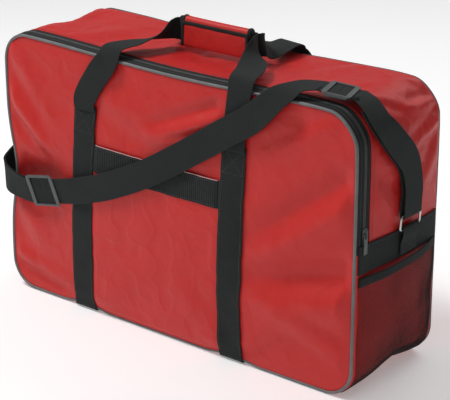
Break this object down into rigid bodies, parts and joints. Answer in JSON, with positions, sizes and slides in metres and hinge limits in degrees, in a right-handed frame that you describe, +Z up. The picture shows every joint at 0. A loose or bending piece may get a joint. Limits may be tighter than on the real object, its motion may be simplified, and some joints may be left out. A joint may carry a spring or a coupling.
{
  "type": "equipment bag",
  "caption": "Soft rectangular equipment bag with a zipped top, a padded carrying grip on webbing, mesh end pockets and an adjustable shoulder strap.",
  "frame": {"origin": "the middle of the base's underside, on the surface that the bag stands on", "axes": "+X towards the end with the zip slider (the right end), +Y from the front to the back, +Z up; the front faces -Y"},
  "size_m": [0.8303, 0.2815, 0.5565],
  "materials": {
    "shell_cloth": "coated woven polyester, satin",
    "pocket_mesh": "knitted diamond mesh, matt",
    "webbing": "woven webbing, matt",
    "zip_tape": "woven tape, matt",
    "zip_coil": "nylon coil",
    "piping": "smooth covered cord",
    "moulded_plastic": "moulded, fine grain",
    "ring_wire": "bent wire, plated"
  },
  "bodies": {
    "bag": {"front_panel": "shell_cloth", "back_panel": "shell_cloth", "upper_gusset": "shell_cloth", "lower_gusset": "shell_cloth", "front_piping": "piping", "back_piping": "piping", "zip_tape_front": "zip_tape", "zip_tape_rear": "zip_tape", "zip_coil_front": "zip_coil", "zip_coil_rear": "zip_coil", "zip_stop_left": "zip_coil", "zip_stop_right": "zip_coil", "left_haul_webbing": "webbing", "right_haul_webbing": "webbing", "front_left_leg": "webbing", "front_right_leg": "webbing", "back_left_leg": "webbing", "back_right_leg": "webbing", "front_pocket_panel": "shell_cloth", "front_pocket_band": "webbing", "left_end_band": "webbing", "right_end_band": "webbing", "left_mesh_pocket": "pocket_mesh", "right_mesh_pocket": "pocket_mesh", "left_pocket_hem": "zip_tape", "right_pocket_hem": "zip_tape", "left_ring_tab": "webbing", "right_ring_tab": "webbing", "shoulder_strap": "webbing"},
    "zip_slider": {"zip_slider": "moulded_plastic"},
    "zip_pull": {"zip_pull": "moulded_plastic"},
    "left_ring": {"left_ring": "ring_wire"},
    "right_ring": {"right_ring": "ring_wire"},
    "left_adjuster": {"left_adjuster": "moulded_plastic"},
    "right_adjuster": {"right_adjuster": "moulded_plastic"},
    "handle": {"grip_wrap": "shell_cloth", "grip_run_front": "webbing", "grip_run_back": "webbing"},
    "grip_flap": {"grip_flap": "shell_cloth"}
  },
  "joints": [
    {"name": "zip_slide", "type": "slide", "parent": "bag", "child": "zip_slider", "axis": [0, 0, 1], "range_m": [0, 0.135]},
    {"name": "zip_pull_swing", "type": "hinge", "parent": "zip_slider", "child": "zip_pull", "pos_m": [0.3987, -0.0985, 0.296], "axis": [0, -1, 0], "range_deg": [0, 150]},
    {"name": "left_ring_swing", "type": "hinge", "parent": "bag", "child": "left_ring", "pos_m": [-0.4076, 0, 0.277], "axis": [0, 1, 0], "range_deg": [0, 100], "deforming": ["shoulder_strap"]},
    {"name": "right_ring_swing", "type": "hinge", "parent": "bag", "child": "right_ring", "pos_m": [0.4076, 0.015, 0.277], "axis": [0, 1, 0], "range_deg": [0, 60], "deforming": ["shoulder_strap"]},
    {"name": "left_adjuster_slide", "type": "slide", "parent": "bag", "child": "left_adjuster", "axis": [0.9807, 0.0305, 0.1929], "range_m": [0, 0.004], "deforming": ["shoulder_strap"]},
    {"name": "right_adjuster_slide", "type": "slide", "parent": "bag", "child": "right_adjuster", "axis": [0.9446, 0.3047, -0.1219], "range_m": [0, 0.004], "deforming": ["shoulder_strap"]},
    {"name": "handle_lift", "type": "slide", "parent": "bag", "child": "handle", "axis": [0, 0, 1], "range_m": [0, 0.05], "deforming": ["front_left_leg", "front_right_leg", "back_left_leg", "back_right_leg"]},
    {"name": "grip_flap_open", "type": "hinge", "parent": "handle", "child": "grip_flap", "pos_m": [0.008, -0.0057, 0.5055], "axis": [1, 0, 0], "range_deg": [0, 80]}
  ]
}
